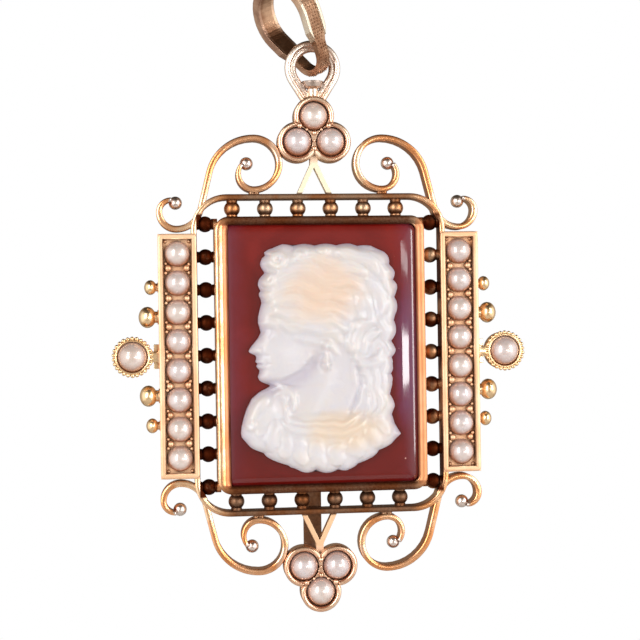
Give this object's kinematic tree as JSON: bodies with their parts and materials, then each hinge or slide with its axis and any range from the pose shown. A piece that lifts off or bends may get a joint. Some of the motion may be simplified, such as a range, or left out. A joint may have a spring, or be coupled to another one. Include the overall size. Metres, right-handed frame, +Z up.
{
  "type": "cameo pendant",
  "caption": "Oblong carved cameo in a gold collet with a gallery, scrolled outer frame, bars and trefoils of half pearls, a ring and an engraved bail.",
  "frame": {"origin": "inside the top of the bail, where the chain that carries the pendant runs", "axes": "+Z up along the pendant's height, -Y towards the front face, +X to the viewer's right"},
  "size_m": [0.039, 0.0074, 0.06],
  "materials": {
    "yellow_gold": "polished, worn yellow gold with darker recesses",
    "copper_gold": "reddish gold with engraved, darkened field",
    "carnelian": "polished translucent agate",
    "white_layer": "carved satin agate layer",
    "pearl": "lustrous half pearl"
  },
  "bodies": {
    "bail": {"bail": "copper_gold"},
    "pendant": {"gold_mount": "yellow_gold", "cameo_plaque": "carnelian", "cameo_relief": "white_layer", "pearl_left_1": "pearl", "pearl_left_2": "pearl", "pearl_left_3": "pearl", "pearl_left_4": "pearl", "pearl_left_5": "pearl", "pearl_left_6": "pearl", "pearl_left_7": "pearl", "pearl_left_8": "pearl", "pearl_right_1": "pearl", "pearl_right_2": "pearl", "pearl_right_3": "pearl", "pearl_right_4": "pearl", "pearl_right_5": "pearl", "pearl_right_6": "pearl", "pearl_right_7": "pearl", "pearl_right_8": "pearl", "pearl_top_1": "pearl", "pearl_top_2": "pearl", "pearl_top_3": "pearl", "pearl_bottom_1": "pearl", "pearl_bottom_2": "pearl", "pearl_bottom_3": "pearl", "pearl_end_left": "pearl", "pearl_end_right": "pearl"}
  },
  "joints": [
    {"name": "pendant_swing", "type": "hinge", "parent": "bail", "child": "pendant", "pos_m": [0.00375, 0.00043, -0.00734], "axis": [0, 1, 0], "range_deg": [-60, 60]}
  ]
}
